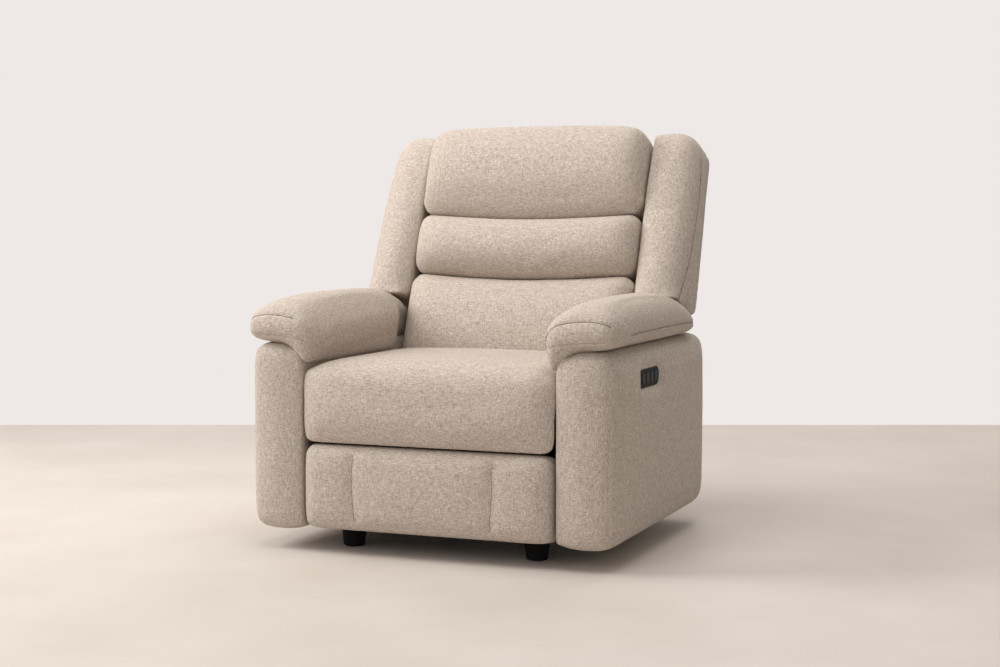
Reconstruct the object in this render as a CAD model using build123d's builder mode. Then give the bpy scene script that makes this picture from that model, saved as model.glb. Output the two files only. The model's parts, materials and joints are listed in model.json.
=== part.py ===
"""Two-motor recliner armchair with padded arms, a fixed seat, a lifting footrest and a winged reclining back.

Lengths are in millimetres. X runs across the chair, Y from the front to the rear and Z up.
The origin is on the floor under the middle of the chair's outline.
"""

import os
from math import atan2, cos, degrees, hypot, radians, sin

from build123d import *

os.makedirs("parts", exist_ok=True)

# Whole chair
overall_width = 935
overall_depth = 925
overall_height = 1050
front_y = -overall_depth / 2
rear_y = overall_depth / 2
clearance = 0.3

# Arms
arm_width = 145
arm_bottom = 50
arm_top = 505
arm_setback = 11
arm_rear_setback = 104
arm_inner_wall = 18
arm_wall = 30
arm_floor = 14
arm_inner_top_radius = 55
arm_outer = overall_width / 2
arm_inner = arm_outer - arm_width
arm_front = front_y + arm_setback
arm_rear = rear_y - arm_rear_setback
ply = 18

# Arm pads
pad_height = 117
pad_overhang = 35
pad_inner = arm_inner - pad_overhang
pad_top = arm_top + pad_height
pad_front = arm_front - 6
pad_rear = arm_rear - 111
pad_inner_rear = 68
pad_drop = 37

# Seat
seat_half = arm_inner - 3
seat_top = 452
seat_bottom = 264
seat_rear = 58
seat_bow = 10
boxing_depth = 50
boxing_rear = front_y + boxing_depth

# Base frame
rail_outer = arm_inner
rail_depth = 29
rail_height = 80
rail_wall = 3
rail_bottom = 70
rail_inner = rail_outer - rail_depth
rail_top = rail_bottom + rail_height
rail_front = arm_front + 56
skirt_thickness = 17.5
skirt_front = arm_rear - skirt_thickness
tube_size = 30
tube_wall = 2.5
tube_bottom = rail_bottom + 5
tube_top = tube_bottom + tube_size
front_tube_y = front_y + 372.5
rear_tube_y = rear_y - 332.5
skid_size = 25
skid_x = arm_inner - 82.5
skid_bottom = tube_bottom - skid_size
skid_front = front_y + 97.5
skid_rear = rear_y - 137.5
foot_radius = 31
foot_front_y = front_y + 132.5
foot_rear_y = rear_y - 172.5

# Footrest linkage, side plane
plate = 4
link = 5
link_gap = 1
link_radius = 12
pin_radius = 6
running = 0.05
loose = 0.2
swing_length = 260
swing_stored = 25
swing_travel = 95
pivot_spacing = 130
turn_offset = 55
drive_pivot = Vector(arm_front + 196, 320)
guide_pivot = drive_pivot - Vector(pivot_spacing, 0)
swing_arm = Vector(swing_length * sin(radians(swing_stored)), -swing_length * cos(radians(swing_stored)))
swing_joint = drive_pivot + swing_arm
guide_joint = guide_pivot + swing_arm
footrest_joint = Vector(arm_front + 100, 178)
turn_arm = Vector(0, turn_offset)
steady_joint = guide_joint + turn_arm
turn_joint = footrest_joint + turn_arm
elbow_reach = hypot(8, 80)
elbow_angle = radians(swing_travel) - atan2(8, 80)
elbow = Vector(elbow_reach * sin(elbow_angle), -elbow_reach * cos(elbow_angle))
plate_outer = rail_inner
plate_inner = plate_outer - plate
layer_1 = plate_inner - link_gap - link
layer_2 = layer_1 - link_gap - link
layer_3 = layer_2 - link_gap - link
layer_4 = layer_3 - link_gap - link
pin_head = 3

# Seat frame
frame_bottom = 335
frame_size = 30
frame_width = 38
frame_front = boxing_rear + 7.5
frame_rear = seat_rear - 10
frame_top = frame_bottom + frame_size
frame_half = arm_inner - 22.5
wire_radius = 1.9
spring_bows = 4
spring_swing = 22
spring_turns = 9
seat_underside = frame_top + 2 * wire_radius + clearance

# Footrest
footrest_bottom = 57
footrest_top = seat_bottom - 4
footrest_half = seat_half - 0.5
board = 15
board_half = arm_inner - 22.5
board_front = boxing_rear
board_rear = board_front + board
seam_x = 178

# Footrest drive
drive_x = -90
drive_tube_radius = 11
drive_tube_wall = 2.5
crank_radius = 60
crank_half = swing_travel / 2
crank_pin_radius = 5
crank_slack = 1.7
drive_ratio = 55.0
guide_rail = 25
sleeve_wall = 6
sleeve_length = 50
lug = 14
drive_rail_bottom = 212
drive_rail_front = front_y + 112.5
drive_rail_rear = drive_rail_front + 380
gearbox_length = 70
gearbox_width = 70
gearbox_height = 72
motor_radius = 23
motor_length = 90

# Back, in a frame that leans with it: across, up the back and forward out of its rear face
lean = 20
back_up = Vector(0, sin(radians(lean)), cos(radians(lean)))
back_out = Vector(0, -cos(radians(lean)), sin(radians(lean)))
back_level = 508
wing_top = 504
wing_rear_radius = 80
crown_radius = 75
crown_inset = 46.4
head_front = 190
head_bow = 40
back_start_y = rear_y - (wing_top - wing_rear_radius) * back_up.Y - wing_rear_radius * (1 + back_out.Y)
back_face = Plane(origin=(0, back_start_y, back_level), x_dir=(1, 0, 0), z_dir=back_out)
back_side = Plane(origin=(0, back_start_y, back_level), x_dir=back_up, z_dir=(1, 0, 0))
back_plan = Plane(origin=(0, back_start_y, back_level), x_dir=(1, 0, 0), z_dir=-back_up)
cushion_half = arm_inner - 6
cushion_rear = 82 + clearance
cushion_gap = 3
lumbar_bottom = -215
lumbar_top = 94
mid_bottom = lumbar_top + cushion_gap
mid_top = 264
head_bottom = mid_top + cushion_gap
sag = 6
panel_depth = 20
panel_return = 44
panel_bottom = -150
panel_half = layer_1 - 1.5
back_frame_front = 80
back_frame_top = wing_top - 40
back_frame_bottom = -160
upright_outer = layer_1
upright_width = 38
wing_inner = cushion_half + 2.3
wing_outer = arm_outer - 27.5
wing_front_low = 205
wing_front_high = 140

# Recline drive
recline_travel = 35
recline_pivot = Vector(back_start_y - 60.2, 400)
recline_radius = 115
recline_ratio = 113.7
recline_half = radians(recline_travel / 2)
crossbar_radius = 8
crossbar_slack = 0.5
recline_x = 90
recline_rail_bottom = 239
recline_rail_rear = skirt_front - 16
recline_rail_front = recline_rail_rear - 365
crossbar = recline_pivot + Vector(recline_radius * sin(recline_half), -recline_radius * cos(recline_half))

# Switch
switch_length = 150
switch_height = 44
switch_y = arm_front + 277.5
switch_z = 425
switch_depth = 21.5
switch_face = arm_outer - 1
switch_wall = 3
button_length = 26
button_height = 24
button_pitch = 33
button_proud = 1
button_depth = 4
bolt_radius = 4
bolt_head = 6.5
bolt_ys = (arm_front + 121.5, arm_front + 421.5, arm_rear - 88.5)


def outline(points, radii, bows=None):
    """Closed face through the points, with rounded corners and sides that bow outward."""
    bows = bows or [0] * len(points)
    corners = [Vector(*p) for p in points]
    pairs = list(zip(corners, corners[1:] + corners[:1]))
    turn = 1 if sum(a.X * b.Y - b.X * a.Y for a, b in pairs) > 0 else -1
    with BuildSketch(Plane.XY) as face:
        with BuildLine():
            for (a, b), bow in zip(pairs, bows):
                if bow:
                    along = (b - a).normalized()
                    ThreePointArc(a, (a + b) * 0.5 + Vector(along.Y, -along.X) * (turn * bow), b)
                else:
                    Line(a, b)
        make_face()
        for corner, radius in zip(corners, radii):
            if radius:
                fillet(face.vertices().sort_by_distance(corner)[0], radius)
    return face.sketch


def bar(points, radius, holes):
    """Round-ended bar through the points, with a hole of the given radius at each of the places."""
    with BuildSketch(Plane.XY) as face:
        for a, b in zip(points, points[1:]):
            step = b - a
            with Locations((a + b) * 0.5):
                SlotCenterToCenter(step.length, 2 * radius, rotation=degrees(atan2(step.Y, step.X)))
        for place, size in holes:
            with Locations(place):
                Circle(size, mode=Mode.SUBTRACT)
    return face.sketch


def switch_outline(grow):
    """Outline of the switch, square at the front and round at the rear."""
    y0 = switch_y - switch_length / 2 - grow
    y1 = switch_y + switch_length / 2 + grow
    z0 = switch_z - switch_height / 2 - grow
    z1 = switch_z + switch_height / 2 + grow
    square = 8 + grow
    round_end = switch_height / 2 + grow - 0.5
    return outline([(y0, z0), (y1, z0), (y1, z1), (y0, z1)], [square, round_end, round_end, square])


# Arm upholstery
with BuildPart() as arm_cover_right:
    with BuildSketch(Plane.YZ.offset(arm_inner)):
        add(
            outline(
                [
                    (arm_front - 1, arm_bottom),
                    (arm_rear + 1, arm_bottom),
                    (arm_rear + 1, arm_top),
                    (arm_front - 1, arm_top),
                ],
                [18, 45, 60, 20],
            )
        )
    extrude(amount=arm_width + 1)
    with BuildSketch(Plane.XZ):
        add(
            outline(
                [
                    (arm_inner, arm_bottom),
                    (arm_outer + 1, arm_bottom),
                    (arm_outer + 1, arm_top),
                    (arm_inner, arm_top),
                ],
                [12, 20, 25, arm_inner_top_radius],
            )
        )
    extrude(amount=overall_depth, both=True, mode=Mode.INTERSECT)
    with BuildSketch(Plane.XY):
        add(
            outline(
                [
                    (arm_inner, arm_front + 5),
                    (arm_outer - 6, arm_front + 5),
                    (arm_outer - 6, arm_rear - 6),
                    (arm_inner, arm_rear - 6),
                ],
                [22, 28, 40, 10],
                [5, 6, 6, 0],
            )
        )
    extrude(amount=overall_height, mode=Mode.INTERSECT)
    with Locations(
        (
            (arm_inner + arm_inner_wall + arm_outer - arm_wall) / 2,
            (arm_front + arm_rear) / 2,
            (arm_bottom + arm_floor + arm_top - arm_wall) / 2,
        )
    ):
        Box(
            arm_width - arm_inner_wall - arm_wall,
            arm_rear - arm_front - 2 * arm_wall,
            arm_top - arm_bottom - arm_floor - arm_wall,
            mode=Mode.SUBTRACT,
        )
    for y in bolt_ys:
        with BuildSketch(Plane.YZ.offset(arm_inner - 1)):
            with Locations((y, (rail_bottom + rail_top) / 2)):
                Circle(bolt_radius + clearance)
        extrude(amount=arm_inner_wall + 2, mode=Mode.SUBTRACT)
    plain_arm = arm_cover_right.part
    with BuildSketch(Plane.YZ.offset(switch_face - switch_depth - clearance)):
        add(switch_outline(clearance))
    extrude(amount=switch_depth + 20, mode=Mode.SUBTRACT)
arm_cover_right.part.label = "arm_cover_right"
export_step(arm_cover_right.part, "parts/arm_cover_right.step")

with BuildPart() as arm_cover_left:
    mirror(plain_arm, about=Plane.YZ)
arm_cover_left.part.label = "arm_cover_left"
export_step(arm_cover_left.part, "parts/arm_cover_left.step")

# Plywood box inside each arm
box_x0 = arm_inner + arm_inner_wall
box_x1 = arm_outer - arm_wall
box_y0 = arm_front + arm_wall
box_y1 = arm_rear - arm_wall
box_z0 = arm_bottom + arm_floor
box_z1 = arm_top - arm_wall
with BuildPart() as arm_frame_right:
    with Locations((box_x0 + ply / 2, (box_y0 + box_y1) / 2, (box_z0 + box_z1) / 2)):
        Box(ply, box_y1 - box_y0, box_z1 - box_z0)
    for y in bolt_ys:
        with BuildSketch(Plane.YZ.offset(box_x0 - 1)):
            with Locations((y, (rail_bottom + rail_top) / 2)):
                Circle(bolt_radius)
        extrude(amount=ply + 2, mode=Mode.SUBTRACT)
    edge_x = (box_x0 + ply + box_x1) / 2
    edge_width = box_x1 - box_x0 - ply
    for z in (box_z0 + ply / 2, box_z1 - ply / 2):
        with Locations((edge_x, (box_y0 + box_y1) / 2, z)):
            Box(edge_width, box_y1 - box_y0, ply)
    for y in (box_y0 + ply / 2, box_y1 - ply / 2):
        with Locations((edge_x, y, (box_z0 + box_z1) / 2)):
            Box(edge_width, ply, box_z1 - box_z0 - 2 * ply)
arm_frame_right.part.label = "arm_frame_right"
export_step(arm_frame_right.part, "parts/arm_frame_right.step")

with BuildPart() as arm_frame_left:
    mirror(arm_frame_right.part, about=Plane.YZ)
arm_frame_left.part.label = "arm_frame_left"
export_step(arm_frame_left.part, "parts/arm_frame_left.step")

# Pillow-top arm pads that hang over the inner edge of the arms
with BuildPart() as arm_pad_right:
    with BuildSketch(Plane.YZ.offset(pad_inner - 2)):
        add(
            outline(
                [
                    (pad_front + 6, arm_top - pad_drop - 3),
                    (pad_rear, arm_top - pad_drop - 3),
                    (pad_rear, arm_top + 43),
                    (arm_front + 390, pad_top),
                    (pad_front + 6, pad_top - 8),
                ],
                [12, 4, 24, 0, 58],
                [0, 0, 20, 5, 6],
            )
        )
    extrude(amount=arm_outer - pad_inner + 4)
    with BuildSketch(Plane.XZ):
        add(
            outline(
                [
                    (pad_inner + 14, arm_top - pad_drop),
                    (arm_outer - 8, arm_top - pad_drop),
                    (arm_outer - 8, pad_top - 16),
                    (pad_inner + 6, pad_top - 20),
                ],
                [20, 8, 52, 84],
                [0, 8, 14, 6],
            )
        )
    extrude(amount=overall_depth, both=True, mode=Mode.INTERSECT)
    with BuildSketch(Plane.XY):
        add(
            outline(
                [
                    (pad_inner - 1, pad_front + 2),
                    (arm_outer + 2, pad_front + 2),
                    (arm_outer + 2, pad_rear + 1),
                    (arm_inner + 4.5, pad_rear + 1),
                    (arm_inner + 4.5, pad_inner_rear),
                    (pad_inner - 1, pad_inner_rear),
                ],
                [48, 42, 34, 4, 8, 24],
                [8, 0, 0, 0, 0, 0],
            )
        )
    extrude(amount=overall_height, mode=Mode.INTERSECT)
    with BuildSketch(Plane.XZ):
        add(
            outline(
                [
                    (arm_inner - clearance, arm_bottom),
                    (arm_outer + 50, arm_bottom),
                    (arm_outer + 50, arm_top + clearance),
                    (arm_inner - clearance, arm_top + clearance),
                ],
                [0, 0, 0, arm_inner_top_radius + clearance],
            )
        )
    extrude(amount=overall_depth, both=True, mode=Mode.SUBTRACT)
arm_pad_right.part.label = "arm_pad_right"
export_step(arm_pad_right.part, "parts/arm_pad_right.step")

with BuildPart() as arm_pad_left:
    mirror(arm_pad_right.part, about=Plane.YZ)
arm_pad_left.part.label = "arm_pad_left"
export_step(arm_pad_left.part, "parts/arm_pad_left.step")

# Steel base
with BuildPart() as base_rails:
    with BuildSketch(Plane.XZ.offset(-rail_front)):
        with Locations((rail_outer - rail_depth / 2, rail_bottom + rail_height / 2)):
            Rectangle(rail_depth, rail_height)
            Rectangle(rail_depth - 2 * rail_wall, rail_height - 2 * rail_wall, mode=Mode.SUBTRACT)
    extrude(amount=rail_front - skirt_front)
    for y in bolt_ys:
        with BuildSketch(Plane.YZ.offset(rail_inner - 1)):
            with Locations((y, rail_bottom + rail_height / 2)):
                Circle(10)
        extrude(amount=rail_wall + 2, mode=Mode.SUBTRACT)
        with BuildSketch(Plane.YZ.offset(rail_outer - rail_wall - 1)):
            with Locations((y, rail_bottom + rail_height / 2)):
                Circle(bolt_radius + clearance)
        extrude(amount=rail_wall + 2, mode=Mode.SUBTRACT)
    mirror(about=Plane.YZ)
base_rails.part.label = "base_rails"
export_step(base_rails.part, "parts/base_rails.step")

with BuildPart() as base_tubes:
    for y in (front_tube_y, rear_tube_y):
        with BuildSketch(Plane.YZ.offset(-rail_inner)):
            with Locations((y, tube_bottom + tube_size / 2)):
                Rectangle(tube_size, tube_size)
                Rectangle(tube_size - 2 * tube_wall, tube_size - 2 * tube_wall, mode=Mode.SUBTRACT)
        extrude(amount=2 * rail_inner)
base_tubes.part.label = "base_tubes"
export_step(base_tubes.part, "parts/base_tubes.step")

with BuildPart() as base_skids:
    for x in (-skid_x, skid_x):
        with BuildSketch(Plane.XZ.offset(-skid_front)):
            with Locations((x, skid_bottom + skid_size / 2)):
                Rectangle(skid_size, skid_size)
                Rectangle(skid_size - 2 * tube_wall, skid_size - 2 * tube_wall, mode=Mode.SUBTRACT)
        extrude(amount=skid_front - skid_rear)
base_skids.part.label = "base_skids"
export_step(base_skids.part, "parts/base_skids.step")

with BuildPart() as feet:
    with Locations(
        *[(x, y, 0) for x in (-skid_x, skid_x) for y in (foot_front_y, foot_rear_y)]
    ):
        Cone(foot_radius - 5, foot_radius, skid_bottom, align=(Align.CENTER, Align.CENTER, Align.MIN))
    fillet(feet.edges().filter_by(GeomType.CIRCLE).group_by(Axis.Z)[0], 5)
feet.part.label = "feet"
export_step(feet.part, "parts/feet.step")

with BuildPart() as arm_bolts:
    for y in bolt_ys:
        with BuildSketch(Plane.YZ.offset(rail_outer - rail_wall - bolt_head)):
            with Locations((y, rail_bottom + rail_height / 2)):
                RegularPolygon(7.5, 6)
        extrude(amount=bolt_head)
        with BuildSketch(Plane.YZ.offset(rail_outer - rail_wall)):
            with Locations((y, rail_bottom + rail_height / 2)):
                Circle(bolt_radius)
        extrude(amount=rail_wall + arm_inner_wall + ply - 2)
    mirror(about=Plane.YZ)
arm_bolts.part.label = "arm_bolts"
export_step(arm_bolts.part, "parts/arm_bolts.step")

with BuildPart() as rear_skirt:
    with Locations((0, skirt_front + skirt_thickness / 2, 236)):
        Box(2 * (arm_inner - clearance), skirt_thickness, 352)
    fillet(rear_skirt.faces().sort_by(Axis.Y)[-1].edges(), 7)
rear_skirt.part.label = "rear_skirt"
export_step(rear_skirt.part, "parts/rear_skirt.step")

# Side plates of the footrest mechanism and posts of the back
with BuildPart() as link_plates:
    with BuildSketch(Plane.YZ.offset(plate_inner)):
        add(
            outline(
                [
                    (guide_pivot.X - 20, frame_bottom),
                    (guide_pivot.X - 20, guide_pivot.Y - 20),
                    (guide_pivot.X + 60, rail_top - 40),
                    (frame_rear, rail_top - 40),
                    (frame_rear, frame_bottom),
                ],
                [0, 14, 20, 14, 0],
            )
        )
        for y in (-150, -40):
            with Locations((y, 240)):
                RectangleRounded(80, 110, 15, mode=Mode.SUBTRACT)
        with Locations(drive_pivot):
            Circle(drive_tube_radius + running, mode=Mode.SUBTRACT)
        with Locations(guide_pivot):
            Circle(pin_radius, mode=Mode.SUBTRACT)
    extrude(amount=plate)
    mirror(about=Plane.YZ)
link_plates.part.label = "link_plates"
export_step(link_plates.part, "parts/link_plates.step")

with BuildPart() as back_posts:
    with BuildSketch(Plane.YZ.offset(plate_inner)):
        add(
            outline(
                [
                    (recline_pivot.X - 65, rail_top - 40),
                    (recline_pivot.X + 65, rail_top - 40),
                    (recline_pivot.X + 24, recline_pivot.Y + 22),
                    (recline_pivot.X - 24, recline_pivot.Y + 22),
                ],
                [12, 12, 20, 20],
            )
        )
        with Locations(recline_pivot):
            Circle(pin_radius, mode=Mode.SUBTRACT)
    extrude(amount=plate)
    mirror(about=Plane.YZ)
back_posts.part.label = "back_posts"
export_step(back_posts.part, "parts/back_posts.step")

with BuildPart() as pivot_pins:
    for pivot, reach in ((guide_pivot, layer_3), (recline_pivot, layer_1)):
        with BuildSketch(Plane.YZ.offset(reach)):
            with Locations(pivot):
                Circle(pin_radius)
        extrude(amount=plate_outer - reach)
        with BuildSketch(Plane.YZ.offset(plate_outer)):
            with Locations(pivot):
                Circle(pin_radius + 4)
        extrude(amount=pin_head)
    mirror(about=Plane.YZ)
pivot_pins.part.label = "pivot_pins"
export_step(pivot_pins.part, "parts/pivot_pins.step")

# Seat
with BuildPart() as seat_frame:
    for x in (-1, 1):
        with Locations(
            (
                x * (frame_half - frame_width / 2),
                (frame_front + frame_rear) / 2,
                frame_bottom + frame_size / 2,
            )
        ):
            Box(frame_width, frame_rear - frame_front, frame_size)
    for y in (frame_front + frame_width / 2, frame_rear - frame_width / 2):
        with Locations((0, y, frame_bottom + frame_size / 2)):
            Box(2 * (frame_half - frame_width - clearance), frame_width, frame_size)
seat_frame.part.label = "seat_frame"
export_step(seat_frame.part, "parts/seat_frame.step")

with BuildPart() as seat_springs:
    span = frame_rear - frame_front - frame_width
    pitch = span / spring_turns
    for i in range(spring_bows):
        x = (i - (spring_bows - 1) / 2) * 120
        zigzag = []
        for k in range(spring_turns + 1):
            side = spring_swing if k % 2 else -spring_swing
            y = frame_front + frame_width / 2 + k * pitch
            zigzag += [(x + side, y, frame_top + wire_radius), (x - side, y, frame_top + wire_radius)]
        with BuildLine():
            FilletPolyline(*zigzag, radius=12)
        with BuildSketch(Plane(origin=zigzag[0], z_dir=(1, 0, 0))):
            Circle(wire_radius)
        sweep()
seat_springs.part.label = "seat_springs"
export_step(seat_springs.part, "parts/seat_springs.step")

with BuildPart() as seat_cushion:
    with BuildSketch(Plane.YZ.offset(-seat_half - 2)):
        add(
            outline(
                [
                    (boxing_rear, seat_underside),
                    (boxing_rear, seat_bottom),
                    (front_y + seat_bow, seat_bottom),
                    (front_y + seat_bow, seat_top),
                    (seat_rear, seat_top),
                    (seat_rear, seat_underside),
                ],
                [6, 5, 16, 42, 28, 6],
                [0, 0, seat_bow, 14, 0, 0],
            )
        )
    extrude(amount=2 * seat_half + 4)
    with BuildSketch(Plane.XZ):
        add(
            outline(
                [
                    (-seat_half, seat_bottom - 1),
                    (seat_half, seat_bottom - 1),
                    (seat_half, seat_top - 3),
                    (-seat_half, seat_top - 3),
                ],
                [14, 14, 38, 38],
                [0, 0, 12, 0],
            )
        )
    extrude(amount=overall_depth, both=True, mode=Mode.INTERSECT)
    with BuildSketch(Plane.XY):
        add(
            outline(
                [
                    (-seat_half - 1, front_y + 6),
                    (seat_half + 1, front_y + 6),
                    (seat_half + 1, seat_rear + 1),
                    (-seat_half - 1, seat_rear + 1),
                ],
                [32, 32, 14, 14],
                [8, 0, 0, 0],
            )
        )
    extrude(amount=overall_height, mode=Mode.INTERSECT)
seat_cushion.part.label = "seat_cushion"
export_step(seat_cushion.part, "parts/seat_cushion.step")

# Footrest
with BuildPart() as footrest_pad:
    with BuildSketch(Plane.YZ.offset(-footrest_half - 2)):
        add(
            outline(
                [
                    (board_front, footrest_bottom),
                    (board_front, footrest_top),
                    (front_y + seat_bow, footrest_top),
                    (front_y + seat_bow, footrest_bottom),
                ],
                [5, 5, 16, 20],
                [0, 0, seat_bow, 0],
            )
        )
    extrude(amount=2 * footrest_half + 4)
    with BuildSketch(Plane.XZ):
        with Locations((0, (footrest_bottom + footrest_top) / 2)):
            RectangleRounded(2 * footrest_half, footrest_top - footrest_bottom + 1, 22)
    extrude(amount=overall_depth, both=True, mode=Mode.INTERSECT)
    with BuildSketch(Plane.XY):
        add(
            outline(
                [
                    (-footrest_half - 1, board_front + 1),
                    (-footrest_half - 1, front_y + 11),
                    (-seam_x, front_y + 8),
                    (seam_x, front_y + 8),
                    (footrest_half + 1, front_y + 11),
                    (footrest_half + 1, board_front + 1),
                ],
                [0, 16, 0, 0, 16, 0],
                [0, 6, 10, 6, 0, 0],
            )
        )
    extrude(amount=overall_height, mode=Mode.INTERSECT)
footrest_pad.part.label = "footrest_pad"
export_step(footrest_pad.part, "parts/footrest_pad.step")

with BuildPart() as footrest_board:
    with Locations((0, board_front + board / 2, (footrest_bottom + footrest_top) / 2)):
        Box(2 * board_half, board, footrest_top - footrest_bottom - 18)
footrest_board.part.label = "footrest_board"
export_step(footrest_board.part, "parts/footrest_board.step")

with BuildPart() as footrest_brackets:
    bracket_low = footrest_joint.Y - 28
    bracket_high = footrest_top - 11
    with BuildSketch(Plane.YZ.offset(layer_3)):
        add(bar([footrest_joint, turn_joint], link_radius, []))
        add(
            outline(
                [
                    (board_rear, bracket_low),
                    (footrest_joint.X, footrest_joint.Y - link_radius),
                    (turn_joint.X, turn_joint.Y + link_radius),
                    (board_rear, bracket_high),
                ],
                [0, 0, 0, 0],
            )
        )
        with Locations(footrest_joint, turn_joint):
            Circle(pin_radius, mode=Mode.SUBTRACT)
    extrude(amount=link)
    with Locations((layer_3 - 17, board_rear + plate / 2, (bracket_low + bracket_high) / 2)):
        Box(34, plate, bracket_high - bracket_low)
    mirror(about=Plane.YZ)
footrest_brackets.part.label = "footrest_brackets"
export_step(footrest_brackets.part, "parts/footrest_brackets.step")

with BuildPart() as footrest_pins:
    with BuildSketch(Plane.YZ.offset(layer_3)):
        with Locations(footrest_joint):
            Circle(pin_radius)
    extrude(amount=2 * link + link_gap)
    with BuildSketch(Plane.YZ.offset(layer_4)):
        with Locations(turn_joint):
            Circle(pin_radius)
    extrude(amount=2 * link + link_gap)
    with BuildSketch(Plane.YZ.offset(layer_4 - running)):
        with Locations(turn_joint):
            Circle(pin_radius + 3)
    extrude(amount=running - pin_head)
    mirror(about=Plane.YZ)
footrest_pins.part.label = "footrest_pins"
export_step(footrest_pins.part, "parts/footrest_pins.step")

# Links between the side plates and the footrest
with BuildPart() as swing_links:
    with BuildSketch(Plane.YZ.offset(layer_1)):
        add(
            bar(
                [drive_pivot, drive_pivot + elbow, swing_joint],
                link_radius,
                [(swing_joint, pin_radius)],
            )
        )
        with Locations(drive_pivot):
            Circle(drive_tube_radius + 3)
            Circle(drive_tube_radius, mode=Mode.SUBTRACT)
    extrude(amount=link)
    mirror(about=Plane.YZ)
swing_links.part.label = "swing_links"
export_step(swing_links.part, "parts/swing_links.step")

with BuildPart() as swing_pins:
    with BuildSketch(Plane.YZ.offset(layer_2)):
        with Locations(swing_joint):
            Circle(pin_radius)
    extrude(amount=2 * link + link_gap)
    mirror(about=Plane.YZ)
swing_pins.part.label = "swing_pins"
export_step(swing_pins.part, "parts/swing_pins.step")

with BuildPart() as carry_links:
    with BuildSketch(Plane.YZ.offset(layer_2)):
        add(
            bar(
                [swing_joint, guide_joint, footrest_joint],
                link_radius,
                [
                    (swing_joint, pin_radius + running),
                    (guide_joint, pin_radius + loose),
                    (footrest_joint, pin_radius + running),
                ],
            )
        )
    extrude(amount=link)
    mirror(about=Plane.YZ)
carry_links.part.label = "carry_links"
export_step(carry_links.part, "parts/carry_links.step")

with BuildPart() as guide_links:
    with BuildSketch(Plane.YZ.offset(layer_3)):
        add(
            bar(
                [guide_pivot, guide_pivot + elbow, steady_joint, guide_joint],
                link_radius,
                [
                    (guide_pivot, pin_radius + running),
                    (steady_joint, pin_radius),
                    (guide_joint, pin_radius),
                ],
            )
        )
    extrude(amount=link)
    mirror(about=Plane.YZ)
guide_links.part.label = "guide_links"
export_step(guide_links.part, "parts/guide_links.step")

with BuildPart() as guide_pins:
    with BuildSketch(Plane.YZ.offset(layer_3)):
        with Locations(guide_joint):
            Circle(pin_radius)
    extrude(amount=2 * link + link_gap)
    with BuildSketch(Plane.YZ.offset(layer_4)):
        with Locations(steady_joint):
            Circle(pin_radius)
    extrude(amount=2 * link + link_gap)
    with BuildSketch(Plane.YZ.offset(layer_4 - running)):
        with Locations(steady_joint):
            Circle(pin_radius + 3)
    extrude(amount=running - pin_head)
    mirror(about=Plane.YZ)
guide_pins.part.label = "guide_pins"
export_step(guide_pins.part, "parts/guide_pins.step")

with BuildPart() as steady_links:
    with BuildSketch(Plane.YZ.offset(layer_4)):
        add(
            bar(
                [steady_joint, turn_joint],
                link_radius,
                [(steady_joint, pin_radius + running), (turn_joint, pin_radius + loose)],
            )
        )
    extrude(amount=link)
    mirror(about=Plane.YZ)
steady_links.part.label = "steady_links"
export_step(steady_links.part, "parts/steady_links.step")

# Torque tube and crank that turn the swing links
with BuildPart() as drive_tube:
    with BuildSketch(Plane.YZ.offset(-plate_outer)):
        with Locations(drive_pivot):
            Circle(drive_tube_radius)
            Circle(drive_tube_radius - drive_tube_wall, mode=Mode.SUBTRACT)
    extrude(amount=2 * plate_outer)
drive_tube.part.label = "drive_tube"
export_step(drive_tube.part, "parts/drive_tube.step")

crank_pin = drive_pivot + Vector(
    crank_radius * sin(radians(crank_half)), -crank_radius * cos(radians(crank_half))
)
with BuildPart() as drive_crank:
    for x in (drive_x - lug / 2 - 1.5 - link, drive_x + lug / 2 + 1.5):
        with BuildSketch(Plane.YZ.offset(x)):
            add(bar([drive_pivot, crank_pin], crank_pin_radius + 5, []))
            with Locations(drive_pivot):
                Circle(drive_tube_radius + 5)
                Circle(drive_tube_radius, mode=Mode.SUBTRACT)
        extrude(amount=link)
    with BuildSketch(Plane.YZ.offset(drive_x - lug / 2 - 1.5 - link)):
        with Locations(crank_pin):
            Circle(crank_pin_radius)
    extrude(amount=lug + 3 + 2 * link)
drive_crank.part.label = "drive_crank"
export_step(drive_crank.part, "parts/drive_crank.step")

drive_slot_y = drive_pivot.X + drive_ratio * radians(crank_half)
drive_slot_low = drive_pivot.Y - crank_radius - crank_pin_radius - 1.5
drive_slot_high = crank_pin.Y + crank_pin_radius + 2.5
with BuildPart() as footrest_carriage:
    sleeve = guide_rail + 2 * sleeve_wall
    with Locations((drive_x, drive_slot_y, drive_rail_bottom + guide_rail / 2)):
        Box(sleeve, sleeve_length, sleeve)
        Box(guide_rail + 2 * clearance, sleeve_length, guide_rail + 2 * clearance, mode=Mode.SUBTRACT)
    with BuildSketch(Plane.YZ.offset(drive_x - lug / 2)):
        lug_low = drive_rail_bottom + guide_rail + sleeve_wall
        with Locations((drive_slot_y, (lug_low + drive_slot_high + 8) / 2)):
            Rectangle(40, drive_slot_high + 8 - lug_low)
        with Locations((drive_slot_y, (drive_slot_low + drive_slot_high) / 2)):
            slot = 2 * (crank_pin_radius + crank_slack)
            RectangleRounded(slot, drive_slot_high - drive_slot_low, 4, mode=Mode.SUBTRACT)
    extrude(amount=lug)
footrest_carriage.part.label = "footrest_carriage"
export_step(footrest_carriage.part, "parts/footrest_carriage.step")

with BuildPart() as footrest_rail:
    with Locations((drive_x, (drive_rail_front + drive_rail_rear) / 2, drive_rail_bottom + guide_rail / 2)):
        Box(guide_rail, drive_rail_rear - drive_rail_front, guide_rail)
footrest_rail.part.label = "footrest_rail"
export_step(footrest_rail.part, "parts/footrest_rail.step")

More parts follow.
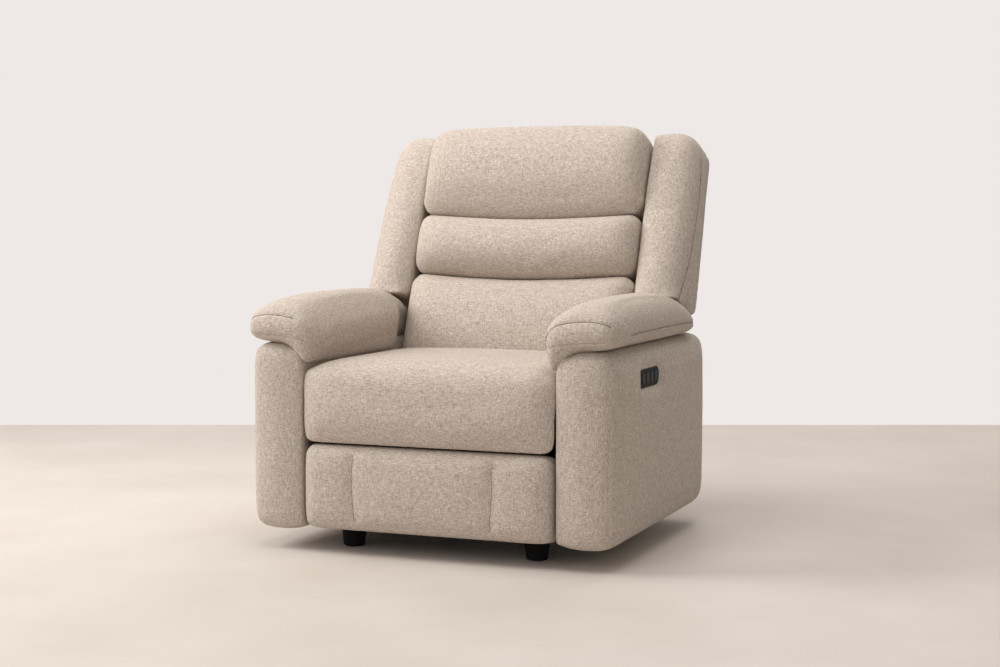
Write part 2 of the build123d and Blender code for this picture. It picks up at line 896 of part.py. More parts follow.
with BuildPart() as footrest_gearbox:
    with Locations((drive_x, drive_rail_rear + gearbox_length / 2, drive_rail_bottom + guide_rail / 2)):
        Box(gearbox_width, gearbox_length, gearbox_height)
    fillet(footrest_gearbox.edges().filter_by(Axis.Y), 8)
footrest_gearbox.part.label = "footrest_gearbox"
export_step(footrest_gearbox.part, "parts/footrest_gearbox.step")

with BuildPart() as footrest_motor:
    with BuildSketch(Plane.YZ.offset(drive_x - gearbox_width / 2)):
        with Locations((drive_rail_rear + gearbox_length / 2, drive_rail_bottom + guide_rail / 2)):
            Circle(motor_radius)
    extrude(amount=-motor_length)
    fillet(footrest_motor.edges().group_by(Axis.X)[0], 4)
footrest_motor.part.label = "footrest_motor"
export_step(footrest_motor.part, "parts/footrest_motor.step")

# Recline drive
with BuildPart() as recline_rail:
    rail_middle = (recline_rail_front + recline_rail_rear) / 2
    with Locations((recline_x, rail_middle, recline_rail_bottom + guide_rail / 2)):
        Box(guide_rail, recline_rail_rear - recline_rail_front, guide_rail)
recline_rail.part.label = "recline_rail"
export_step(recline_rail.part, "parts/recline_rail.step")

with BuildPart() as recline_gearbox:
    gearbox_y = recline_rail_front - gearbox_length / 2
    with Locations((recline_x, gearbox_y, recline_rail_bottom + guide_rail / 2)):
        Box(gearbox_width, gearbox_length, gearbox_height)
    fillet(recline_gearbox.edges().filter_by(Axis.Y), 8)
recline_gearbox.part.label = "recline_gearbox"
export_step(recline_gearbox.part, "parts/recline_gearbox.step")

with BuildPart() as recline_motor:
    with BuildSketch(Plane.YZ.offset(recline_x + gearbox_width / 2)):
        with Locations((recline_rail_front - gearbox_length / 2, recline_rail_bottom + guide_rail / 2)):
            Circle(motor_radius)
    extrude(amount=motor_length)
    fillet(recline_motor.edges().group_by(Axis.X)[-1], 4)
recline_motor.part.label = "recline_motor"
export_step(recline_motor.part, "parts/recline_motor.step")

with BuildPart() as rail_brackets:
    for x, y, top in (
        (drive_x, front_tube_y, drive_rail_bottom),
        (recline_x, rear_tube_y, recline_rail_bottom),
    ):
        with Locations((x, y, (tube_top + top) / 2)):
            Box(20, 20, top - tube_top)
rail_brackets.part.label = "rail_brackets"
export_step(rail_brackets.part, "parts/rail_brackets.step")

recline_slot_y = recline_pivot.X + recline_ratio * recline_half
with BuildPart() as recline_carriage:
    with Locations((recline_x, recline_slot_y, recline_rail_bottom + guide_rail / 2)):
        Box(sleeve, sleeve_length, sleeve)
        Box(guide_rail + 2 * clearance, sleeve_length, guide_rail + 2 * clearance, mode=Mode.SUBTRACT)
    with BuildSketch(Plane.YZ.offset(recline_x - lug / 2)):
        slot_low = recline_pivot.Y - recline_radius - crossbar_radius - 1.5
        slot_high = crossbar.Y + crossbar_radius + 1.5
        lug_low = recline_rail_bottom + guide_rail + sleeve_wall
        with Locations((recline_slot_y, (lug_low + slot_high + 8) / 2)):
            Rectangle(40, slot_high + 8 - lug_low)
        with Locations((recline_slot_y, (slot_low + slot_high) / 2)):
            slot = 2 * (crossbar_radius + crossbar_slack)
            RectangleRounded(slot, slot_high - slot_low, 5, mode=Mode.SUBTRACT)
    extrude(amount=lug)
recline_carriage.part.label = "recline_carriage"
export_step(recline_carriage.part, "parts/recline_carriage.step")

with BuildPart() as control_box:
    with Locations((-30, rear_tube_y, tube_top + 18)):
        Box(110, 64, 36)
    fillet(control_box.edges().filter_by(Axis.Z), 6)
    with BuildSketch(Plane.XZ.offset(-rear_tube_y - 33)):
        with Locations((-50, tube_top + 18)):
            Circle(4.5)
            Circle(1.2, mode=Mode.SUBTRACT)
    extrude(amount=13, mode=Mode.SUBTRACT)
control_box.part.label = "control_box"
export_step(control_box.part, "parts/control_box.step")

# Back frame
with BuildPart() as back_frame:
    with BuildSketch(back_face.offset(panel_depth)):
        for x in (-1, 1):
            with Locations((x * (upright_outer - upright_width / 2), (back_frame_bottom + back_frame_top) / 2)):
                Rectangle(upright_width, back_frame_top - back_frame_bottom)
    extrude(amount=back_frame_front - panel_depth)
    with BuildSketch(back_face.offset(panel_depth)):
        for v in (back_frame_bottom + 20, 170, back_frame_top - 20):
            with Locations((0, v)):
                Rectangle(2 * (upright_outer - upright_width - clearance), 40)
    extrude(amount=back_frame_front - panel_depth)
back_frame.part.label = "back_frame"
export_step(back_frame.part, "parts/back_frame.step")

with BuildPart() as wing_boards:
    with BuildSketch(back_face.offset(panel_depth)):
        with Locations(((upright_outer + wing_inner - clearance) / 2, (70 + back_frame_top) / 2)):
            Rectangle(wing_inner - clearance - upright_outer, back_frame_top - 70)
    extrude(amount=back_frame_front - panel_depth)
    mirror(about=Plane.YZ)
wing_boards.part.label = "wing_boards"
export_step(wing_boards.part, "parts/wing_boards.step")

with BuildPart() as back_webbing:
    with BuildSketch(back_face.offset(back_frame_front)):
        for v in (-90, -10, 70, 190, 290, 380):
            with Locations((0, v)):
                Rectangle(2 * upright_outer, 50)
    extrude(amount=cushion_rear - clearance - back_frame_front)
back_webbing.part.label = "back_webbing"
export_step(back_webbing.part, "parts/back_webbing.step")

with BuildPart() as back_brackets:
    bracket_top = back_side.from_local_coords(Vector(30, 52))
    with BuildSketch(Plane.YZ.offset(layer_1)):
        arm_line = [crossbar, recline_pivot, Vector(bracket_top.Y, bracket_top.Z)]
        add(bar(arm_line, 17, [(crossbar, crossbar_radius)]))
        with Locations(recline_pivot):
            Circle(24)
            Circle(pin_radius + running, mode=Mode.SUBTRACT)
    extrude(amount=link)
    mirror(about=Plane.YZ)
back_brackets.part.label = "back_brackets"
export_step(back_brackets.part, "parts/back_brackets.step")

with BuildPart() as recline_crossbar:
    with BuildSketch(Plane.YZ.offset(-layer_1 - link)):
        with Locations(crossbar):
            Circle(crossbar_radius)
            Circle(crossbar_radius - 2, mode=Mode.SUBTRACT)
    extrude(amount=2 * (layer_1 + link))
recline_crossbar.part.label = "recline_crossbar"
export_step(recline_crossbar.part, "parts/recline_crossbar.step")

# Back upholstery
wing_lower_edge = [
    (arm_front + 480, pad_top + 40),
    (arm_front + 558, pad_top - 8),
    (arm_front + 632, pad_top - 30),
    (arm_front + 702, arm_top + 56),
    (arm_front + 752, arm_top + 36),
    (rear_y + 20, arm_top + 36),
    (rear_y + 20, arm_bottom),
    (arm_front + 480, arm_bottom),
]
with BuildPart() as back_panel:
    with BuildSketch(back_face.offset(-20)):
        add(
            outline(
                [
                    (-panel_half, panel_bottom),
                    (panel_half, panel_bottom),
                    (panel_half, 20),
                    (wing_outer - 4, 20),
                    (wing_outer - 4, back_frame_top - 1),
                    (4 - wing_outer, back_frame_top - 1),
                    (4 - wing_outer, 20),
                    (-panel_half, 20),
                ],
                [8, 8, 0, 0, 30, 30, 0, 0],
            )
        )
    extrude(amount=panel_depth + 20)
    with BuildSketch(back_face.offset(panel_depth)):
        add(
            outline(
                [
                    (wing_inner + 1, 20),
                    (wing_outer - 4, 20),
                    (wing_outer - 4, back_frame_top - 1),
                    (wing_inner + 1, back_frame_top - 1),
                ],
                [0, 0, 30, 0],
            )
        )
    extrude(amount=panel_return - panel_depth)
    mirror(about=Plane.YZ)
    with BuildSketch(back_side):
        add(
            outline(
                [(panel_bottom - 2, 0), (panel_bottom - 2, 120), (wing_top, 120), (wing_top, 0), (330, 0)],
                [0, 0, 0, wing_rear_radius, 0],
                [0, 0, 0, 0, 8],
            )
        )
    extrude(amount=overall_width, both=True, mode=Mode.INTERSECT)
    for x in (-overall_width, arm_inner - 6):
        with BuildSketch(Plane.YZ.offset(x)):
            add(outline(wing_lower_edge, [0, 30, 60, 60, 40, 0, 0, 0]))
        extrude(amount=overall_width - arm_inner + 6, mode=Mode.SUBTRACT)
    rim = back_panel.edges().filter_by(lambda e: abs(abs(e.center().X) - wing_outer + 4) < 0.5)
    rear_rim = rim.filter_by(lambda e: back_side.to_local_coords(e.center()).Y < 4)
    fillet(rear_rim.sort_by(SortBy.LENGTH)[-2:], 12)
back_panel.part.label = "back_panel"
export_step(back_panel.part, "parts/back_panel.step")

with BuildPart() as wing_right:
    with BuildSketch(back_side.offset(wing_inner)):
        add(
            outline(
                [(-90, 0), (-90, wing_front_low + 8), (wing_top, wing_front_high), (wing_top, 0)],
                [0, 0, 62, wing_rear_radius],
                [0, 6, 0, 0],
            )
        )
    extrude(amount=wing_outer - wing_inner + 2)
    with BuildSketch(back_face):
        add(
            outline(
                [
                    (wing_inner, -90),
                    (wing_outer - 5, -90),
                    (wing_outer - 5, wing_top + 1),
                    (wing_inner, wing_top + 1),
                ],
                [0, 0, 72, 18],
                [0, 5, 0, 0],
            )
        )
    extrude(amount=overall_depth, both=True, mode=Mode.INTERSECT)
    with BuildSketch(back_plan):
        add(
            outline(
                [
                    (wing_inner, -1),
                    (wing_outer + 1, -1),
                    (wing_outer + 1, wing_front_low - 12),
                    (wing_inner, wing_front_low - 4),
                ],
                [0, 24, 62, 44],
                [0, 0, 12, 0],
            )
        )
    extrude(amount=overall_height, both=True, mode=Mode.INTERSECT)
    with BuildSketch(back_face):
        with Locations((wing_outer, back_frame_top / 2 - 100)):
            Rectangle(2 * arm_width + 100, back_frame_top + 200)
    extrude(amount=panel_return + clearance, mode=Mode.SUBTRACT)
    with BuildSketch(Plane.YZ.offset(wing_inner - 1)):
        add(outline(wing_lower_edge, [0, 30, 60, 60, 40, 0, 0, 0]))
    extrude(amount=arm_width, mode=Mode.SUBTRACT)
wing_right.part.label = "wing_right"
export_step(wing_right.part, "parts/wing_right.step")

with BuildPart() as wing_left:
    mirror(wing_right.part, about=Plane.YZ)
wing_left.part.label = "wing_left"
export_step(wing_left.part, "parts/wing_left.step")

with BuildPart() as lumbar_cushion:
    with BuildSketch(back_side.offset(-cushion_half - 2)):
        add(
            outline(
                [
                    (lumbar_bottom, cushion_rear),
                    (lumbar_bottom, 180),
                    (lumbar_top, 188),
                    (lumbar_top, cushion_rear),
                ],
                [14, 34, 42, 4],
                [0, 47, 0, 0],
            )
        )
    extrude(amount=2 * cushion_half + 4)
    with BuildSketch(back_face):
        add(
            outline(
                [
                    (-cushion_half, lumbar_bottom),
                    (cushion_half, lumbar_bottom),
                    (cushion_half, lumbar_top),
                    (-cushion_half, lumbar_top),
                ],
                [24, 24, 34, 34],
                [0, -3, -sag, -3],
            )
        )
    extrude(amount=overall_depth, both=True, mode=Mode.INTERSECT)
    with BuildSketch(back_plan):
        add(
            outline(
                [
                    (-cushion_half - 1, cushion_rear - 1),
                    (cushion_half + 1, cushion_rear - 1),
                    (cushion_half + 1, 216),
                    (-cushion_half - 1, 216),
                ],
                [4, 4, 62, 62],
                [0, 0, 20, 0],
            )
        )
    extrude(amount=overall_height, both=True, mode=Mode.INTERSECT)
lumbar_cushion.part.label = "lumbar_cushion"
export_step(lumbar_cushion.part, "parts/lumbar_cushion.step")

with BuildPart() as mid_cushion:
    with BuildSketch(back_side.offset(-cushion_half - 2)):
        add(
            outline(
                [
                    (mid_bottom - sag, cushion_rear),
                    (mid_bottom - sag, 184),
                    (mid_top, 184),
                    (mid_top, cushion_rear),
                ],
                [4, 42, 42, 4],
                [0, 44, 0, 0],
            )
        )
    extrude(amount=2 * cushion_half + 4)
    with BuildSketch(back_face):
        add(
            outline(
                [
                    (-cushion_half, mid_bottom),
                    (cushion_half, mid_bottom),
                    (cushion_half, mid_top),
                    (-cushion_half, mid_top),
                ],
                [32, 32, 32, 32],
                [sag, -3, -sag, -3],
            )
        )
    extrude(amount=overall_depth, both=True, mode=Mode.INTERSECT)
    with BuildSketch(back_plan):
        add(
            outline(
                [
                    (-cushion_half - 1, cushion_rear - 1),
                    (cushion_half + 1, cushion_rear - 1),
                    (cushion_half + 1, 213),
                    (-cushion_half - 1, 213),
                ],
                [4, 4, 62, 62],
                [0, 0, 20, 0],
            )
        )
    extrude(amount=overall_height, both=True, mode=Mode.INTERSECT)
mid_cushion.part.label = "mid_cushion"
export_step(mid_cushion.part, "parts/mid_cushion.step")

head_top = crown_radius + (
    overall_height - back_level - crown_radius - (head_front - crown_inset) * back_out.Z
) / back_up.Z
with BuildPart() as head_cushion:
    with BuildSketch(back_side.offset(-cushion_half - 2)):
        add(
            outline(
                [
                    (head_bottom - sag - 2, cushion_rear),
                    (head_bottom - sag - 2, head_front - 8),
                    (head_top, head_front),
                    (head_top, 30),
                    (back_frame_top + clearance, 14),
                    (back_frame_top + clearance, cushion_rear),
                ],
                [0, 34, crown_radius, 50, 0, 0],
                [0, head_bow, 0, 0, 0, 0],
            )
        )
    extrude(amount=2 * cushion_half + 4)
    with BuildSketch(back_face):
        add(
            outline(
                [
                    (-cushion_half, head_bottom),
                    (cushion_half, head_bottom),
                    (cushion_half, head_top - 8),
                    (-cushion_half, head_top - 8),
                ],
                [32, 32, 55, 55],
                [sag, -3, 10, -3],
            )
        )
    extrude(amount=overall_depth, both=True, mode=Mode.INTERSECT)
    with BuildSketch(back_plan):
        add(
            outline(
                [
                    (-cushion_half - 1, 0),
                    (cushion_half + 1, 0),
                    (cushion_half + 1, 218),
                    (-cushion_half - 1, 218),
                ],
                [20, 20, 66, 66],
                [0, 0, 20, 0],
            )
        )
    extrude(amount=overall_height, both=True, mode=Mode.INTERSECT)
head_cushion.part.label = "head_cushion"
export_step(head_cushion.part, "parts/head_cushion.step")

# Switch with four push-buttons
button_names = ("button_back_down", "button_back_up", "button_feet_up", "button_feet_down")
button_ys = [switch_y + (i - 1.5) * button_pitch for i in range(4)]
with BuildPart() as switch_bezel:
    with BuildSketch(Plane.YZ.offset(switch_face - switch_depth)):
        add(switch_outline(0))
    extrude(amount=switch_depth)
    with BuildSketch(Plane.YZ.offset(switch_face - switch_depth + switch_wall)):
        add(switch_outline(-switch_wall))
    extrude(amount=switch_depth - 2 * switch_wall, mode=Mode.SUBTRACT)
    with BuildSketch(Plane.YZ.offset(switch_face - 2 * switch_wall)):
        for y in button_ys:
            with Locations((y, switch_z)):
                RectangleRounded(button_length + 2 * clearance, button_height + 2 * clearance, 6 + clearance)
    extrude(amount=3 * switch_wall, mode=Mode.SUBTRACT)
switch_bezel.part.label = "switch_bezel"
export_step(switch_bezel.part, "parts/switch_bezel.step")

for button_name, y in zip(button_names, button_ys):
    with BuildPart() as button:
        with BuildSketch(Plane.YZ.offset(switch_face + button_proud)):
            with Locations((y, switch_z)):
                RectangleRounded(button_length, button_height, 6)
        extrude(amount=-(button_proud + switch_wall + button_depth))
        with BuildSketch(Plane.YZ.offset(switch_face - switch_wall - clearance)):
            with Locations((y, switch_z)):
                RectangleRounded(button_length + 4, button_height + 4, 7)
        extrude(amount=-2)
        fillet(button.faces().sort_by(Axis.X)[-1].edges(), 0.6)
    button.part.label = button_name
    export_step(button.part, f"parts/{button_name}.step")
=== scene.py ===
"""Recliner armchair in heathered beige cloth: covers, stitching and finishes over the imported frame."""

import json
import math

import bmesh
import bpy
import numpy as np
from mathutils import Matrix, Vector
from mathutils.bvhtree import BVHTree


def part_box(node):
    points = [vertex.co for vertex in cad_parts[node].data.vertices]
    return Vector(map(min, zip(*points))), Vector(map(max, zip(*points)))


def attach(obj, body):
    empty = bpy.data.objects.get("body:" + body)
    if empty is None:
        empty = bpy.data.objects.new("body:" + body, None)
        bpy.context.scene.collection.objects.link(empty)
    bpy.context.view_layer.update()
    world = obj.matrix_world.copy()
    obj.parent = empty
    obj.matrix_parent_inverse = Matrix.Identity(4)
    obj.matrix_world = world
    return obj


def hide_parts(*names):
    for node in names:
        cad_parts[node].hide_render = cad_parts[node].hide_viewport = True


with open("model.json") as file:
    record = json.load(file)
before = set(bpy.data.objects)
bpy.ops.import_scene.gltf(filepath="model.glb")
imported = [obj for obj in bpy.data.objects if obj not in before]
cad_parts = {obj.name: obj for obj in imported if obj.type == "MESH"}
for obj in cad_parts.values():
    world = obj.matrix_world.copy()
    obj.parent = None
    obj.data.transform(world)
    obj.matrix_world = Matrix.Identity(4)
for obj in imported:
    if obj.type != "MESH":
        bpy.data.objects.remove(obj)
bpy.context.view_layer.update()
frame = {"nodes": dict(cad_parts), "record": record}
nodes = frame["nodes"]
scene = bpy.context.scene
mm = 0.001
back_lean = math.radians(20)

# Axes of the pieces that stand upright and of those that lean with the back
upright = np.eye(3)
leaning = np.array(
    [
        [1, 0, 0],
        [0, math.cos(back_lean), -math.sin(back_lean)],
        [0, math.sin(back_lean), math.cos(back_lean)],
    ]
)

# Sides that a cover rests on, and the limits of a rest that covers its whole side
right, left = (1, 0, 0), (-1, 0, 0)
front, rear = (0, -1, 0), (0, 1, 0)
top, foot = (0, 0, 1), (0, 0, -1)
any_depth, any_height = -9.0, 9.0
other_side = np.array([-1.0, 1.0, 1.0])


def mms(*sizes):
    """Sizes given in millimetres, or rows of them, as an array in metres."""
    return np.array(sizes) * mm


def node_box(node):
    """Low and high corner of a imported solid's box, to a tenth of a millimetre."""
    low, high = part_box(node)
    return np.round(low, 4), np.round(high, 4)


def linear(hex_colour):
    """sRGB hex colour as linear red, green, blue and alpha."""
    parts = [int(hex_colour[i : i + 2], 16) / 255 for i in (1, 3, 5)]
    return [p / 12.92 if p <= 0.04045 else ((p + 0.055) / 1.055) ** 2.4 for p in parts] + [1.0]


def add_node(tree, kind, settings, links=None):
    """Adds a node: settings fill its properties, inputs or colour stops, links feed its inputs."""
    made = tree.nodes.new(kind)
    for key, value in settings.items():
        if key == "stops":
            stops = made.color_ramp.elements
            while len(stops) < len(value):
                stops.new(1.0)
            for stop, (place, colour) in zip(stops, value):
                stop.position = place
                stop.color = linear(colour)
        elif isinstance(key, str) and hasattr(made, key):
            setattr(made, key, value)
        else:
            made.inputs[key].default_value = value
    for key, source in (links or {}).items():
        tree.links.new(source, made.inputs[key])
    return made


def new_material(name):
    """Empty node material: returns it, its tree and the object coordinates."""
    material = bpy.data.materials.new(name)
    material.use_nodes = True
    tree = material.node_tree
    tree.nodes.clear()
    place = add_node(tree, "ShaderNodeTexCoord", {}).outputs["Object"]
    return material, tree, place


def close_material(tree, shader):
    """Joins the shader to the material's surface."""
    add_node(tree, "ShaderNodeOutputMaterial", {}, {"Surface": shader.outputs[0]})


def woven_cloth(name, lean):
    """Heathered tweed of slubby yarn: matt and soft, with pale and brown fibres side by side."""
    # The yarns lie about 1.2 mm apart; they are drawn a little wider so that they show a step away.
    yarn_width, slub_length, patch_size, fibre_size = mms(1.7, 12, 10, 1.1)
    material, tree, place = new_material(name)
    turned = add_node(
        tree, "ShaderNodeMapping", {"Rotation": (lean, 0, 0)}, {"Vector": place}
    ).outputs[0]
    fine, long = 1 / yarn_width, 1 / slub_length
    yarns = []
    for run in ((fine, fine, long), (long, fine, fine), (fine, long, fine)):
        stretched = add_node(tree, "ShaderNodeMapping", {"Scale": run}, {"Vector": turned})
        yarn = add_node(
            tree,
            "ShaderNodeTexNoise",
            {"Scale": 1.0, "Detail": 1.5, "Roughness": 0.6},
            {"Vector": stretched.outputs[0]},
        )
        yarns.append(yarn.outputs[0])
    pair = add_node(tree, "ShaderNodeMath", {"operation": "ADD"}, {0: yarns[0], 1: yarns[1]})
    all_yarns = add_node(
        tree, "ShaderNodeMath", {"operation": "ADD"}, {0: pair.outputs[0], 1: yarns[2]}
    )
    weave = add_node(
        tree, "ShaderNodeMath", {"operation": "DIVIDE", 1: 3.0}, {0: all_yarns.outputs[0]}
    )
    heather = add_node(
        tree,
        "ShaderNodeTexNoise",
        {"Scale": 1 / patch_size, "Detail": 3.0, "Roughness": 0.65},
        {"Vector": turned},
    )
    fibre = add_node(
        tree, "ShaderNodeTexNoise", {"Scale": 1 / fibre_size, "Detail": 1.0}, {"Vector": turned}
    )
    tones = add_node(
        tree,
        "ShaderNodeValToRGB",
        {"stops": [(0.38, "#75675b"), (0.5, "#c1b4a9"), (0.62, "#ece5de")]},
        {"Fac": weave.outputs[0]},
    )
    patches = add_node(
        tree,
        "ShaderNodeValToRGB",
        {"stops": [(0.32, "#bcb1a7"), (0.68, "#d0c7be")]},
        {"Fac": heather.outputs[0]},
    )
    mottled = add_node(
        tree,
        "ShaderNodeMix",
        {"data_type": "RGBA", "blend_type": "MIX", 0: 0.38},
        {6: tones.outputs[0], 7: patches.outputs[0]},
    )
    flecks = add_node(
        tree,
        "ShaderNodeValToRGB",
        {"stops": [(0.30, "#a3978b"), (0.42, "#ffffff")]},
        {"Fac": fibre.outputs[0]},
    )
    colour = add_node(
        tree,
        "ShaderNodeMix",
        {"data_type": "RGBA", "blend_type": "MULTIPLY", 0: 0.5},
        {6: mottled.outputs[2], 7: flecks.outputs[0]},
    )
    relief = add_node(
        tree,
        "ShaderNodeBump",
        {"Strength": 0.45, "Distance": 1.6 * mm},
        {"Height": weave.outputs[0]},
    )
    cloth = add_node(
        tree,
        "ShaderNodeBsdfPrincipled",
        {
            "Roughness": 0.93,
            "Specular IOR Level": 0.18,
            "Sheen Weight": 0.12,
            "Sheen Roughness": 0.6,
            "Sheen Tint": linear("#e8dfd5"),
        },
        {"Base Color": colour.outputs[2], "Normal": relief.outputs[0]},
    )
    close_material(tree, cloth)
    return material


def spun_thread(name, dark, pale):
    """Twisted polyester between a dark and a pale tone: as upholstery thread, a thin matt line a little
    darker than the cloth; in dark tones, painted shade of a seam's crease.
    """
    material, tree, place = new_material(name)
    twist = add_node(
        tree,
        "ShaderNodeTexNoise",
        {"Scale": 1 / (0.9 * mm), "Detail": 1.0},
        {"Vector": place},
    )
    tone = add_node(
        tree,
        "ShaderNodeValToRGB",
        {"stops": [(0.35, dark), (0.65, pale)]},
        {"Fac": twist.outputs[0]},
    )
    relief = add_node(
        tree, "ShaderNodeBump", {"Strength": 0.4, "Distance": 0.2 * mm}, {"Height": twist.outputs[0]}
    )
    strand = add_node(
        tree,
        "ShaderNodeBsdfPrincipled",
        {"Roughness": 0.7, "Specular IOR Level": 0.3, "Sheen Weight": 0.1},
        {"Base Color": tone.outputs[0], "Normal": relief.outputs[0]},
    )
    close_material(tree, strand)
    return material


def grained(name, dark, pale, stretch, roughness, bump, metallic=0.0, specular=0.5):
    """Solid material whose tone, gloss and relief follow one stretched grain of the sizes given."""
    material, tree, place = new_material(name)
    run = add_node(
        tree, "ShaderNodeMapping", {"Scale": [1 / s for s in stretch]}, {"Vector": place}
    )
    grain = add_node(
        tree,
        "ShaderNodeTexNoise",
        {"Scale": 1.0, "Detail": 4.0, "Roughness": 0.62},
        {"Vector": run.outputs[0]},
    )
    tone = add_node(
        tree,
        "ShaderNodeValToRGB",
        {"stops": [(0.32, dark), (0.68, pale)]},
        {"Fac": grain.outputs[0]},
    )
    gloss = add_node(
        tree,
        "ShaderNodeMapRange",
        {"From Min": 0.3, "From Max": 0.7, "To Min": roughness[0], "To Max": roughness[1]},
        {"Value": grain.outputs[0]},
    )
    relief = add_node(
        tree,
        "ShaderNodeBump",
        {"Strength": bump[0], "Distance": bump[1]},
        {"Height": grain.outputs[0]},
    )
    solid = add_node(
        tree,
        "ShaderNodeBsdfPrincipled",
        {"Metallic": metallic, "Specular IOR Level": specular},
        {
            "Base Color": tone.outputs[0],
            "Roughness": gloss.outputs[0],
            "Normal": relief.outputs[0],
        },
    )
    close_material(tree, solid)
    return material


upright_cloth = woven_cloth("beige_heather_tweed", 0.0)
leaning_cloth = woven_cloth("beige_heather_tweed_on_the_back", back_lean)
thread = spun_thread("spun_polyester_thread", "#94826f", "#b8a793")
# Dark cord laid in the pad and wing seams: its colour is painted shade of the crease at the folded edge,
# so the seam reads as a dark line.
fold = spun_thread("folded_tweed_edge", "#5d5044", "#7d6e5f")
finishes = {
    "upholstery": upright_cloth,
    # Sawn pine and birch plywood, left raw: long pale grain, dry and matt.
    "timber": grained(
        "raw_pine", "#a9814f", "#d9b98a", (90 * mm, 7 * mm, 9 * mm), (0.65, 0.85), (0.35, 0.6 * mm)
    ),
    # Elastic polypropylene strap, woven: dull dark ribs across the strap.
    "webbing": grained(
        "elastic_strap", "#16161a", "#303036", (30 * mm, 2 * mm, 2 * mm), (0.75, 0.9), (0.6, 0.5 * mm)
    ),
    # Powder coat baked on steel: even satin black with a fine orange peel.
    "black_steel": grained(
        "black_powder_coat", "#121214", "#1e1e21", (2.5 * mm,) * 3, (0.38, 0.55), (0.15, 0.15 * mm)
    ),
    # Bright zinc plate: bluish grey metal with faint drawn streaks.
    "zinc_steel": grained(
        "zinc_plate",
        "#8f9397",
        "#c3c7ca",
        (4 * mm, 40 * mm, 4 * mm),
        (0.26, 0.44),
        (0.08, 0.1 * mm),
        metallic=1.0,
    ),
    # ABS moulded in a spark-eroded tool: matt black with a pebbled skin.
    "black_plastic": grained(
        "textured_abs",
        "#070708",
        "#0e0e0f",
        (1.4 * mm,) * 3,
        (0.6, 0.75),
        (0.3, 0.12 * mm),
        specular=0.16,
    ),
    # ABS from a polished tool, rubbed by fingers: a little greyer and glossier.
    "button_plastic": grained(
        "smooth_abs",
        "#0a0a0b",
        "#111112",
        (9 * mm,) * 3,
        (0.5, 0.62),
        (0.05, 0.05 * mm),
        specular=0.18,
    ),
}
for row in frame["record"]["subparts"]:
    cad = nodes[row["node"]]
    cad.data.materials.clear()
    cad.data.materials.append(finishes[row["material_slot"]])


def settle(piece):
    """Makes what the piece's modifiers give its own mesh."""
    bpy.context.view_layer.update()
    graph = bpy.context.evaluated_depsgraph_get()
    done = bpy.data.meshes.new_from_object(piece.evaluated_get(graph))
    piece.modifiers.clear()
    old = piece.data
    piece.data = done
    bpy.data.meshes.remove(old)


def vertex_rows(piece, field):
    """One field of the piece's vertices, their places or their normals, as an array."""
    flat = np.zeros(len(piece.data.vertices) * 3, np.float32)
    piece.data.vertices.foreach_get(field, flat)
    return flat.reshape(-1, 3).astype(float)


def points_of(piece):
    """Vertex places as an array."""
    return vertex_rows(piece, "co")


def normals_of(piece):
    """Vertex normals as an array."""
    return vertex_rows(piece, "normal")


def put_points(piece, points):
    """Moves the vertices to the places given."""
    piece.data.vertices.foreach_set("co", points.astype(np.float32).ravel())
    piece.data.update()


def to_hull(skin):
    """Replaces the skin's faces by the hull of its vertices."""
    bmesh.ops.delete(skin, geom=skin.edges[:] + skin.faces[:], context="EDGES_FACES")
    bmesh.ops.convex_hull(skin, input=skin.verts[:])
    loose = [v for v in skin.verts if not v.link_faces]
    bmesh.ops.delete(skin, geom=loose, context="VERTS")


def even_skin(name, node, voxel, hull=False):
    """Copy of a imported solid, or of its hull, as one closed skin of small even faces."""
    piece = bpy.data.objects.new(name, bpy.data.meshes.new(name))
    scene.collection.objects.link(piece)
    skin = bmesh.new()
    skin.from_mesh(nodes[node].data)
    bmesh.ops.remove_doubles(skin, verts=skin.verts, dist=0.01 * mm)
    if hull:
        to_hull(skin)
    skin.to_mesh(piece.data)
    skin.free()
    evened = piece.modifiers.new("even", "REMESH")
    evened.mode = "VOXEL"
    evened.voxel_size = voxel
    settle(piece)
    return piece


def plump(piece, voxel, ease, less, more, axes=upright, rests=(), pivot=None, bow=(0, 0)):
    """Rounds a skin's edges over a length, as stuffing does, and lets it out past its box's two corners.

    A rest is a side, a depth and a height: the side keeps its place behind the depth and under the
    height. The bow lifts the middle of the piece's foot and of its top. Returns the vertices that rest.
    """
    square_on = 0.8
    shape = points_of(piece) @ axes.T
    low, high = shape.min(0), shape.max(0)
    middle = (low + high) / 2
    for axis, place in (pivot or {}).items():
        middle[axis] = place
    facing = normals_of(piece) @ axes.T
    held = np.zeros(len(shape), bool)
    for side, depth, height in rests:
        flat = facing @ np.array(side, float) > square_on
        held |= flat & (shape[:, 1] > depth) & (shape[:, 2] < height)
    group = piece.vertex_groups.new(name="free")
    group.add([int(i) for i in np.nonzero(~held)[0]], 1.0, "REPLACE")
    eased = piece.modifiers.new("eased", "SMOOTH")
    eased.factor = 1.0
    # An edge spreads by half a voxel times the root of the rounds.
    eased.iterations = round(4 * (ease / voxel) ** 2)
    eased.vertex_group = "free"
    settle(piece)
    piece.vertex_groups.clear()
    shape = points_of(piece) @ axes.T - middle
    reach_low = (middle - low + less) / -shape.min(0)
    reach_high = (high - middle + more) / shape.max(0)
    shape = np.where(shape < 0, shape * reach_low, shape * reach_high)
    level = (shape[:, 2] + middle[2] - low[2]) / (high[2] - low[2])
    across = 1 - (shape[:, 0] / np.abs(shape[:, 0]).max()) ** 2
    shape[:, 2] += (bow[0] + (bow[1] - bow[0]) * level) * across
    put_points(piece, (shape + middle) @ axes)
    return held


